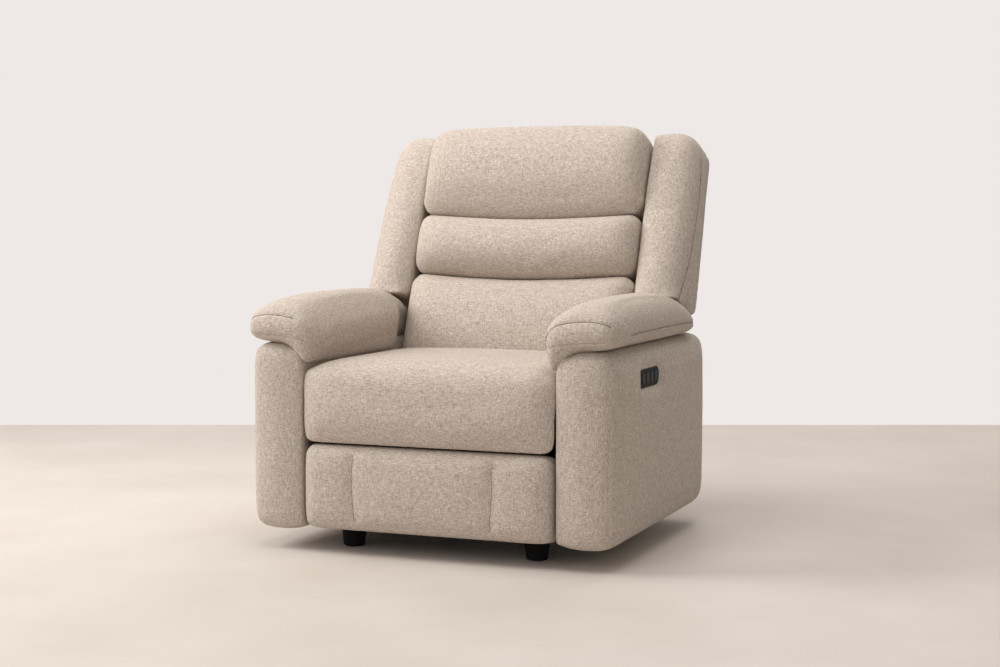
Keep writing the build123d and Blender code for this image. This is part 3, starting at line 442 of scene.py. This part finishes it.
def along_path(points, path):
    """Distance of each point from a path, and how far along the path its nearest place is."""
    near = np.full(len(points), np.inf)
    along = np.zeros(len(points))
    start = 0.0
    for a, b in zip(path[:-1], path[1:]):
        step = b - a
        length = np.linalg.norm(step)
        if length < 1e-7:
            continue
        share = np.clip(((points - a) @ step) / length**2, 0, 1)
        gap = np.linalg.norm(points - a - share[:, None] * step, axis=1)
        closer = gap < near
        near[closer] = gap[closer]
        along[closer] = start + share[closer] * length
        start += length
    return near, along


def rounded_path(knots, step):
    """Smooth path through the knots, with a point about every step."""
    knots = [np.array(k, float) for k in knots]
    knots = [2 * knots[0] - knots[1]] + knots + [2 * knots[-1] - knots[-2]]
    path = []
    for a, b, c, d in zip(knots, knots[1:], knots[2:], knots[3:]):
        count = max(2, int(np.linalg.norm(c - b) / step))
        for t in np.arange(count) / count:
            path.append(
                0.5
                * (
                    2 * b
                    + (c - a) * t
                    + (2 * a - 5 * b + 4 * c - d) * t**2
                    + (3 * b - a - 3 * c + d) * t**3
                )
            )
    path.append(knots[-2])
    return np.array(path)


def laid_on(piece, knots, step=4 * mm):
    """Path through the knots, laid on the piece's surface, with the surface's normals."""
    skin = bmesh.new()
    skin.from_mesh(piece.data)
    tree = BVHTree.FromBMesh(skin)
    places, normals = [], []
    for p in rounded_path(knots, step):
        place, normal, _, _ = tree.find_nearest(Vector(p))
        places.append(np.array(place))
        normals.append(np.array(normal))
    skin.free()
    return np.array(places), np.array(normals)


def swell(piece, held, inset, growth, pressure, seams=()):
    """Blows the cover up as cloth a little larger than its foam, held at its seams and where it rests."""
    seam_hold, slack, proud = mms(6, 1, 3)
    frames = 12
    full = points_of(piece)
    normals = normals_of(piece)
    held = held.copy()
    for path, _ in seams:
        near, _ = along_path(full, path)
        held |= near < seam_hold
    start = full - normals * inset
    put_points(piece, start)
    group = piece.vertex_groups.new(name="held")
    group.add([int(i) for i in np.nonzero(held)[0]], 1.0, "REPLACE")
    cover = piece.modifiers.new("cover", "CLOTH")
    cloth = cover.settings
    cloth.quality = 4
    cloth.mass = 0.3
    cloth.tension_stiffness = 15
    cloth.compression_stiffness = 15
    cloth.shear_stiffness = 5
    cloth.bending_stiffness = 0.6
    cloth.shrink_min = -growth
    cloth.use_pressure = True
    cloth.uniform_pressure_force = pressure
    cloth.effector_weights.gravity = 0
    cloth.vertex_group_mass = "held"
    cover.collision_settings.use_collision = False
    cover.point_cache.frame_start = 1
    cover.point_cache.frame_end = frames
    for number in range(1, frames + 1):
        scene.frame_set(number)
    settle(piece)
    scene.frame_set(1)
    piece.vertex_groups.clear()
    # The foam under the cover lets it sink a little, and the next piece lets it rise a little.
    moved = points_of(piece) - start
    out = (moved * normals).sum(1)
    kept = np.clip(out, inset - slack, inset + proud)
    put_points(piece, start + moved + normals * (kept - out)[:, None])
    pressed = piece.modifiers.new("pressed", "SMOOTH")
    pressed.factor = 0.5
    pressed.iterations = 5
    settle(piece)


def divided(piece):
    """Splits each face in four and rounds the result."""
    halves = piece.modifiers.new("halves", "SUBSURF")
    halves.levels = 1
    halves.render_levels = 1
    settle(piece)


def sew(piece, path, depth, width, gather=0.0, pitch=13 * mm, spread=18 * mm):
    """Draws the cover in along a seam, with gathers beside it where they are asked for."""
    points = points_of(piece)
    normals = normals_of(piece)
    near, along = along_path(points, path)
    groove = np.exp(-((near / width) ** 2))
    # The gathers drift a little along the seam, as hand-fed cloth does.
    drift, drift_rate = 1.3, 61
    folds = 0.5 + 0.5 * np.cos(2 * math.pi * along / pitch + drift * np.sin(along * drift_rate))
    sink = depth * groove + gather * folds * np.exp(-((near / spread) ** 2)) * (1 - groove)
    put_points(piece, points - normals * sink[:, None])


def trim(piece, body, material):
    """Gives a row of stitches or a seam its material and its body."""
    scene.collection.objects.link(piece)
    piece.data.materials.clear()
    piece.data.materials.append(material)
    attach(piece, body)


def stitches(name, body, path, normals, offset=0.0):
    """Row of thread stitches along a seam, each lying on the cover."""
    pitch, thread_radius, lift = mms(6.5, 0.65, 0.2)
    half_stitch = 0.34 * pitch
    row = bmesh.new()
    steps = np.linalg.norm(np.diff(path, axis=0), axis=1)
    reach = np.concatenate([[0.0], np.cumsum(steps)])
    for start in np.arange(0.5 * pitch, reach[-1] - 0.5 * pitch, pitch):
        ends = [
            np.array([np.interp(start + d, reach, path[:, k]) for k in range(3)])
            for d in (-half_stitch, half_stitch)
        ]
        up = np.array([np.interp(start, reach, normals[:, k]) for k in range(3)])
        run = ends[1] - ends[0]
        side = np.cross(up, run)
        side /= max(np.linalg.norm(side), 1e-9)
        middle = Vector((ends[0] + ends[1]) / 2 + up * lift + side * offset)
        turn = Vector(run).to_track_quat("Z", "Y").to_matrix().to_4x4()
        bmesh.ops.create_cone(
            row,
            cap_ends=True,
            segments=6,
            radius1=thread_radius,
            radius2=thread_radius,
            depth=float(np.linalg.norm(run)),
            matrix=Matrix.Translation(middle) @ turn,
        )
    piece = bpy.data.objects.new(name, bpy.data.meshes.new(name))
    row.to_mesh(piece.data)
    row.free()
    trim(piece, body, thread)


def seam_line(name, body, path, normals, material):
    """Fine cord that lies in a seam's groove: in the dark crease material it is painted shade of the
    folded edge, in thread a line of thread.
    """
    fold_radius, lift = mms(0.9, 0.1)
    line = bpy.data.curves.new(name, "CURVE")
    line.dimensions = "3D"
    line.bevel_depth = fold_radius
    line.bevel_resolution = 1
    line.use_fill_caps = True
    spline = line.splines.new("POLY")
    spline.points.add(len(path) - 1)
    for point, place in zip(spline.points, path + normals * lift):
        point.co = (*place, 1)
    holder = bpy.data.objects.new(name, line)
    scene.collection.objects.link(holder)
    bpy.context.view_layer.update()
    graph = bpy.context.evaluated_depsgraph_get()
    done = bpy.data.meshes.new_from_object(holder.evaluated_get(graph))
    bpy.data.objects.remove(holder)
    trim(bpy.data.objects.new(name, done), body, material)


def mirrored(piece, name):
    """Copy of a piece for the other side of the chair."""
    copy = bpy.data.objects.new(name, piece.data.copy())
    scene.collection.objects.link(copy)
    skin = bmesh.new()
    skin.from_mesh(copy.data)
    bmesh.ops.scale(skin, vec=Vector(other_side), verts=skin.verts)
    bmesh.ops.reverse_faces(skin, faces=skin.faces)
    skin.to_mesh(copy.data)
    skin.free()
    return copy


def dress(piece, node, body, cloth):
    """Gives a finished cover its cloth and its body, and hides the solid that it stands for."""
    for face in piece.data.polygons:
        face.use_smooth = True
    piece.data.materials.clear()
    piece.data.materials.append(cloth)
    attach(piece, body)
    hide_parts(node)


def fit_switch(cover):
    """Draws an arm box's cover in round the switch and cuts the hole that the bezel fills."""
    rounding, tuck_width, proud, side_depth = mms(10, 14, 1, 5)
    hole_scale = (2.6, 1.004, 1.012)
    low, high = node_box("switch_bezel")
    middle = (low + high) / 2
    half = (high - low) / 2
    points = points_of(cover)
    beyond = np.maximum(np.abs(points - middle)[:, 1:] - half[1:] + rounding, 0)
    gap = np.linalg.norm(beyond, axis=1) - rounding
    nearness = np.exp(-((np.maximum(gap, 0) / tuck_width) ** 2))
    tuck = np.where(points[:, 0] > low[0] - side_depth, nearness, 0)
    points[:, 0] -= np.maximum(points[:, 0] - high[0] + proud, 0) * tuck
    put_points(cover, points)
    hole = bmesh.new()
    hole.from_mesh(nodes["switch_bezel"].data)
    to_hull(hole)
    bmesh.ops.translate(hole, vec=-Vector(middle), verts=hole.verts)
    bmesh.ops.scale(hole, vec=hole_scale, verts=hole.verts)
    bmesh.ops.translate(hole, vec=Vector(middle), verts=hole.verts)
    cutter = bpy.data.objects.new("switch_hole", bpy.data.meshes.new("switch_hole"))
    hole.to_mesh(cutter.data)
    hole.free()
    scene.collection.objects.link(cutter)
    cut = cover.modifiers.new("switch", "BOOLEAN")
    cut.operation = "DIFFERENCE"
    cut.solver = "EXACT"
    cut.object = cutter
    settle(cover)
    bpy.data.objects.remove(cutter)


def arm_boxes():
    """Arm boxes: tight cloth over thin foam, with a sewn edge up the front corner."""
    voxel, edge_inset = mms(10, 4.5)
    low, high = node_box("arm_cover_right")
    cover = even_skin("arm_box_cover_right", "arm_cover_right", voxel, hull=True)
    inner_side = (left, low[1] + 14.5 * mm, any_height)
    held = plump(
        cover, voxel, ease=33 * mm, less=mms(1, 6, 7), more=mms(5, 4, 0), rests=[inner_side]
    )
    heights = (low[2] + 25 * mm, low[2] + 200 * mm, high[2] - 35 * mm)
    edge_knots = [(high[0] - edge_inset, low[1] + edge_inset, z) for z in heights]
    edge = laid_on(cover, edge_knots)
    swell(cover, held, inset=2 * mm, growth=0.004, pressure=4.0, seams=[edge])
    divided(cover)
    edge, _ = laid_on(cover, edge_knots)
    sew(cover, edge, depth=1.6 * mm, width=4 * mm)
    other = mirrored(cover, "arm_box_cover_left")
    fit_switch(cover)
    dress(cover, "arm_cover_right", "base", upright_cloth)
    dress(other, "arm_cover_left", "base", upright_cloth)


def arm_pads():
    """Arm pads: pillow tops with a sewn nose cap, gathered at its corners, and a stitched side line."""
    voxel = 7 * mm
    low, high = node_box("arm_pad_right")
    pad_foot = low[2] + 40 * mm
    nose_start, nose_run, nose_droop = low[1] + 297.5 * mm, 300 * mm, 0.2
    tail_start, tail_run, tail_droop = high[1] - 227.5 * mm, 230 * mm, 0.1

    # Seams of the right pad, from its outer front corner
    corner = np.array((high[0], low[1], low[2]))
    nose_knots = corner + mms(
        (-176.5, 29.5, 22),
        (-171.5, 12.5, 58),
        (-155.5, 7.5, 81),
        (-127.5, 6.5, 93),
        (-95.5, 7.5, 99),
        (-62.5, 8.5, 101),
        (-35.5, 10.5, 98),
        (-15.5, 19.5, 88),
    )
    nose_end = corner + mms((-3.5, 27.5, 68), (0.5, 37.5, 54))
    cap_knots = corner + mms((-161.5, -2.5, 40), (-122.5, -2.5, 48), (-75.5, -2.5, 52), (-19.5, 2.5, 54))
    side_knots = corner + mms((2.5, 127.5, 65), (2.5, 357.5, 69), (2.5, 557.5, 68), (-2.5, 682.5, 64))

    cover = even_skin("arm_pad_cover_right", "arm_pad_right", voxel)
    held = plump(
        cover, voxel, ease=29 * mm, less=mms(0, 6, 16), more=mms(5, 0, -4), pivot={2: pad_foot}
    )
    points = points_of(cover)
    nose_share = np.clip((nose_start - points[:, 1]) / nose_run, 0, 1)
    tail_share = np.clip((points[:, 1] - tail_start) / tail_run, 0, 1)
    rise = np.maximum(points[:, 2] - pad_foot, 0)
    points[:, 2] -= rise * (nose_droop * nose_share**2 + tail_droop * tail_share**2)
    put_points(cover, points)
    sewn = [laid_on(cover, nose_knots), laid_on(cover, side_knots)]
    swell(cover, held, inset=2 * mm, growth=0.015, pressure=8.0, seams=sewn)
    divided(cover)
    other = mirrored(cover, "arm_pad_cover_left")

    # The left pad's nose is sewn from the middle of its top down its outer side.
    left_nose_knots = np.concatenate([nose_knots[3:], nose_end])
    for word, pad, side, nose in (
        ("right", cover, 1, nose_knots),
        ("left", other, -1, left_nose_knots),
    ):
        turned = np.array([side, 1, 1])
        seams = {"nose": nose * turned, "cap": cap_knots * turned, "side": side_knots * turned}
        grooves = {
            "nose": {"depth": 2.6 * mm, "width": 3.5 * mm, "gather": 1.4 * mm},
            "cap": {"depth": 1.2 * mm, "width": 4 * mm},
            "side": {"depth": 1.6 * mm, "width": 4 * mm},
        }
        for seam, knots in seams.items():
            sew(pad, laid_on(pad, knots)[0], **grooves[seam])
        for seam, knots in seams.items():
            path, normals = laid_on(pad, knots)
            offset = 0.0 if seam == "cap" else 4.5 * mm * side
            stitches(f"{seam}_stitches_{word}", "base", path, normals, offset)
            if seam != "cap":
                # The nose and side seams get a dark cord: painted shade of their creases.
                seam_line(f"{seam}_seam_{word}", "base", path, normals, fold)
    dress(cover, "arm_pad_right", "base", upright_cloth)
    dress(other, "arm_pad_left", "base", upright_cloth)


def round_foot(piece, corner):
    """Rounds the two long lower edges of a piece to a radius."""
    points = points_of(piece)
    side_start = np.abs(points[:, 0]).max() - corner
    foot_start = points[:, 2].min() + corner
    out = np.maximum(np.abs(points[:, 0]) - side_start, 0)
    down = np.maximum(foot_start - points[:, 2], 0)
    inward = 1 - corner / np.maximum(np.hypot(out, down), corner)
    points[:, 0] -= np.sign(points[:, 0]) * out * inward
    points[:, 2] += down * inward
    put_points(piece, points)


def seat():
    """Seat: one crowned block with a rolled front."""
    voxel = 10 * mm
    low, _ = node_box("seat_cushion")
    foot_depth, side_depth = low[1] + 25.5 * mm, low[1] + 37.5 * mm
    rests = [
        (foot, foot_depth, any_height),
        (rear, 0, any_height),
        (right, side_depth, any_height),
        (left, side_depth, any_height),
    ]
    cover = even_skin("seat_cover", "seat_cushion", voxel)
    held = plump(cover, voxel, ease=40 * mm, less=mms(6, 7, 1.5), more=mms(6, 0, 7), rests=rests)
    round_foot(cover, corner=34 * mm)
    swell(cover, held, inset=2 * mm, growth=0.01, pressure=8.0)
    divided(cover)
    dress(cover, "seat_cushion", "base", upright_cloth)


def footrest():
    """Footrest: padded panel sewn through along two channels, which lean in at their feet."""
    voxel = 7 * mm
    low, high = node_box("footrest_pad")
    channels = [
        [
            (x, low[1], high[2] - 20 * mm),
            (x * 1.006, low[1], high[2] - 100 * mm),
            (x * 0.97, low[1], high[2] - 180 * mm),
        ]
        for x in mms(-182, 174)
    ]
    rests = [(rear, high[1] - 7.5 * mm, any_height)]
    cover = even_skin("footrest_cover", "footrest_pad", voxel)
    held = plump(cover, voxel, ease=23 * mm, less=mms(0.5, 6, 3), more=mms(0.5, 9, 2), rests=rests)
    sewn = [laid_on(cover, knots) for knots in channels]
    swell(cover, held, inset=2 * mm, growth=0.02, pressure=8.0, seams=sewn)
    divided(cover)
    for knots in channels:
        sew(cover, laid_on(cover, knots)[0], depth=2.4 * mm, width=4 * mm, gather=0.9 * mm)
    for word, knots in zip(("left", "right"), channels):
        path, normals = laid_on(cover, knots)
        stitches(f"channel_stitches_{word}", "footrest", path, normals, offset=4 * mm)
        seam_line(f"channel_seam_{word}", "footrest", path, normals, thread)
    dress(cover, "footrest_pad", "footrest", upright_cloth)


def back_cushions():
    """Back cushions: three plump rolls, one over the other, that sag a little in the middle."""
    voxel = 9 * mm
    # Heights along the leaning back up to which a cushion is held
    rear_height, held_height = 1.075, 1.0
    hidden_depth = -50 * mm
    for word, ease, bow in (
        ("lumbar", 34 * mm, mms(0, -12)),
        ("mid", 32 * mm, mms(-12, -12)),
        ("head", 36 * mm, mms(-12, 6)),
    ):
        rests = [
            (rear, 0, rear_height),
            (right, hidden_depth, held_height),
            (left, hidden_depth, held_height),
            (foot, hidden_depth, held_height),
        ]
        if word != "head":
            rests.append((top, hidden_depth, held_height))
        cover = even_skin(f"{word}_cover", f"{word}_cushion", voxel)
        less, more = mms((2, 6, 2), (2, 0, 2))
        held = plump(cover, voxel, ease, less, more, axes=leaning, rests=rests, bow=bow)
        swell(cover, held, inset=2 * mm, growth=0.01, pressure=8.0)
        divided(cover)
        dress(cover, f"{word}_cushion", "back", leaning_cloth)


def wings():
    """Wings: a roll on each side of the back, with a seam down its outer side."""
    voxel = 9 * mm
    _, high = node_box("wing_right")
    # Heights along the leaning back up to which a wing is held
    side_height, foot_height = 1.06, 1.0
    rests = [
        (rear, 20 * mm, side_height),
        (left, -40 * mm, side_height),
        (foot, any_depth, foot_height),
    ]
    seam_places = ((0.125, 0.556), (0.206, 0.645), (0.300, 0.802), (0.367, 0.950))
    seam_knots = [(high[0], y, z) for y, z in seam_places]
    cover = even_skin("wing_cover_right", "wing_right", voxel)
    less, more = mms((2, 9, 10), (14, 0, 18))
    held = plump(cover, voxel, ease=48 * mm, less=less, more=more, axes=leaning, rests=rests)
    swell(cover, held, inset=2 * mm, growth=0.01, pressure=6.0, seams=[laid_on(cover, seam_knots)])
    divided(cover)
    sew(cover, laid_on(cover, seam_knots)[0], depth=2 * mm, width=4 * mm)
    path, normals = laid_on(cover, seam_knots)
    other = mirrored(cover, "wing_cover_left")
    dress(cover, "wing_right", "back", leaning_cloth)
    dress(other, "wing_left", "back", leaning_cloth)
    other_path, other_normals = path * other_side, normals * other_side
    # The wing seams get a dark cord: painted shade of their creases.
    seam_line("wing_seam_right", "back", path, normals, fold)
    seam_line("wing_seam_left", "back", other_path, other_normals, fold)
    stitches("wing_stitches_right", "back", path, normals, offset=4 * mm)
    stitches("wing_stitches_left", "back", other_path, other_normals, offset=-4 * mm)


def rear_covers():
    """Rear of the back and rear skirt: plain cloth over board."""
    panel_voxel, skirt_voxel = mms(9, 6)
    panel_height = 1.0
    rests = [(front, 0, panel_height)]
    less, more = mms((9, 0, 0), (9, 2, 31))
    panel = even_skin("back_panel_cover", "back_panel", panel_voxel)
    held = plump(panel, panel_voxel, ease=12 * mm, less=less, more=more, axes=leaning, rests=rests)
    swell(panel, held, inset=1 * mm, growth=0.004, pressure=3.0)
    divided(panel)
    dress(panel, "back_panel", "back", leaning_cloth)
    rests = [(front, any_depth, any_height)]
    skirt = even_skin("skirt_cover", "rear_skirt", skirt_voxel)
    held = plump(skirt, skirt_voxel, ease=6 * mm, less=mms(0, 0, 0), more=mms(0, 0, 0), rests=rests)
    swell(skirt, held, inset=1 * mm, growth=0.004, pressure=3.0)
    divided(skirt)
    dress(skirt, "rear_skirt", "base", upright_cloth)


arm_boxes()
arm_pads()
seat()
footrest()
back_cushions()
wings()
rear_covers()

# Camera, floor and light
eye = Vector((1.6324, -4.0496, 0.8023))
look_at = Vector((0.0166, -0.0075, 0.5067))


def stand_camera():
    """Camera that sees the chair from its right front."""
    lens = bpy.data.cameras.new("camera")
    lens.sensor_width = 36
    lens.lens = 61.36
    camera = bpy.data.objects.new("camera", lens)
    scene.collection.objects.link(camera)
    camera.location = eye
    camera.rotation_euler = (look_at - eye).to_track_quat("-Z", "Y").to_euler()
    scene.camera = camera


def stone_floor():
    """Pale honed stone with broad faint veins."""
    material, tree, place = new_material("pale_stone_floor")
    veins = add_node(
        tree,
        "ShaderNodeTexNoise",
        {"Scale": 2.2, "Detail": 5.0, "Roughness": 0.55},
        {"Vector": place},
    )
    stone = add_node(
        tree,
        "ShaderNodeValToRGB",
        {"stops": [(0.3, "#cac2bb"), (0.7, "#d4cdc7")]},
        {"Fac": veins.outputs[0]},
    )
    polish = add_node(
        tree,
        "ShaderNodeBsdfPrincipled",
        {"Roughness": 0.55, "Specular IOR Level": 0.3},
        {"Base Color": stone.outputs[0]},
    )
    close_material(tree, polish)
    return material


def lay_floor():
    """Floor just under the feet, whose far edge lies square across the view."""
    half_width, far_edge, drop = 10.0, 6.58, 0.5 * mm
    floor = bpy.data.objects.new("floor", bpy.data.meshes.new("floor"))
    slab = bmesh.new()
    bmesh.ops.create_grid(slab, x_segments=1, y_segments=1, size=half_width)
    view_turn = math.atan2(look_at.x - eye.x, look_at.y - eye.y)
    bmesh.ops.translate(slab, vec=(0, far_edge - half_width, 0), verts=slab.verts)
    bmesh.ops.rotate(slab, matrix=Matrix.Rotation(-view_turn, 3, "Z"), verts=slab.verts)
    bmesh.ops.translate(slab, vec=(eye.x, eye.y, -drop), verts=slab.verts)
    slab.to_mesh(floor.data)
    slab.free()
    scene.collection.objects.link(floor)
    floor.data.materials.append(stone_floor())


def surround():
    """Pale wall where it is seen, and a softer glow where it only lights the chair."""
    world = bpy.data.worlds.new("studio")
    scene.world = world
    world.use_nodes = True
    sky = world.node_tree
    sky.nodes.clear()
    ray = add_node(sky, "ShaderNodeLightPath", {})
    wall = add_node(sky, "ShaderNodeBackground", {"Color": linear("#eee9e6"), "Strength": 1.0})
    glow = add_node(sky, "ShaderNodeBackground", {"Color": linear("#fdf5ec"), "Strength": 0.37})
    either = add_node(
        sky,
        "ShaderNodeMath",
        {"operation": "MAXIMUM"},
        {0: ray.outputs["Is Camera Ray"], 1: ray.outputs["Is Glossy Ray"]},
    )
    any_view = add_node(
        sky,
        "ShaderNodeMath",
        {"operation": "MAXIMUM"},
        {0: either.outputs[0], 1: ray.outputs["Is Transmission Ray"]},
    )
    mixed = add_node(
        sky,
        "ShaderNodeMixShader",
        {},
        {0: any_view.outputs[0], 1: glow.outputs[0], 2: wall.outputs[0]},
    )
    add_node(sky, "ShaderNodeOutputWorld", {}, {"Surface": mixed.outputs[0]})


def soft_lamp(name, place, aim, size, power, colour):
    """Large square lamp that shines from a place towards a point."""
    lamp = bpy.data.lights.new(name, "AREA")
    lamp.shape = "SQUARE"
    lamp.size = size
    lamp.energy = power
    lamp.color = linear(colour)[:3]
    holder = bpy.data.objects.new(name, lamp)
    holder.location = place
    holder.rotation_euler = (Vector(aim) - Vector(place)).to_track_quat("-Z", "Y").to_euler()
    scene.collection.objects.link(holder)


stand_camera()
lay_floor()
surround()
soft_lamp("window_light", (-3.3, -1.2, 2.8), aim=(0, 0, 0.5), size=2.2, power=130, colour="#fffbf6")
soft_lamp("top_light", (0.2, -0.6, 3.5), aim=(0, 0, 0.4), size=2.4, power=48, colour="#fffcf9")
soft_lamp("front_fill", (-1.3, -4.2, 2.3), aim=(0, 0, 0.5), size=2.0, power=35, colour="#fffcf9")
soft_lamp("room_light", (0.4, 3.6, 3.6), aim=(0.2, 2.0, 0), size=2.6, power=50, colour="#fffaf5")
scene.view_settings.view_transform = "Standard"
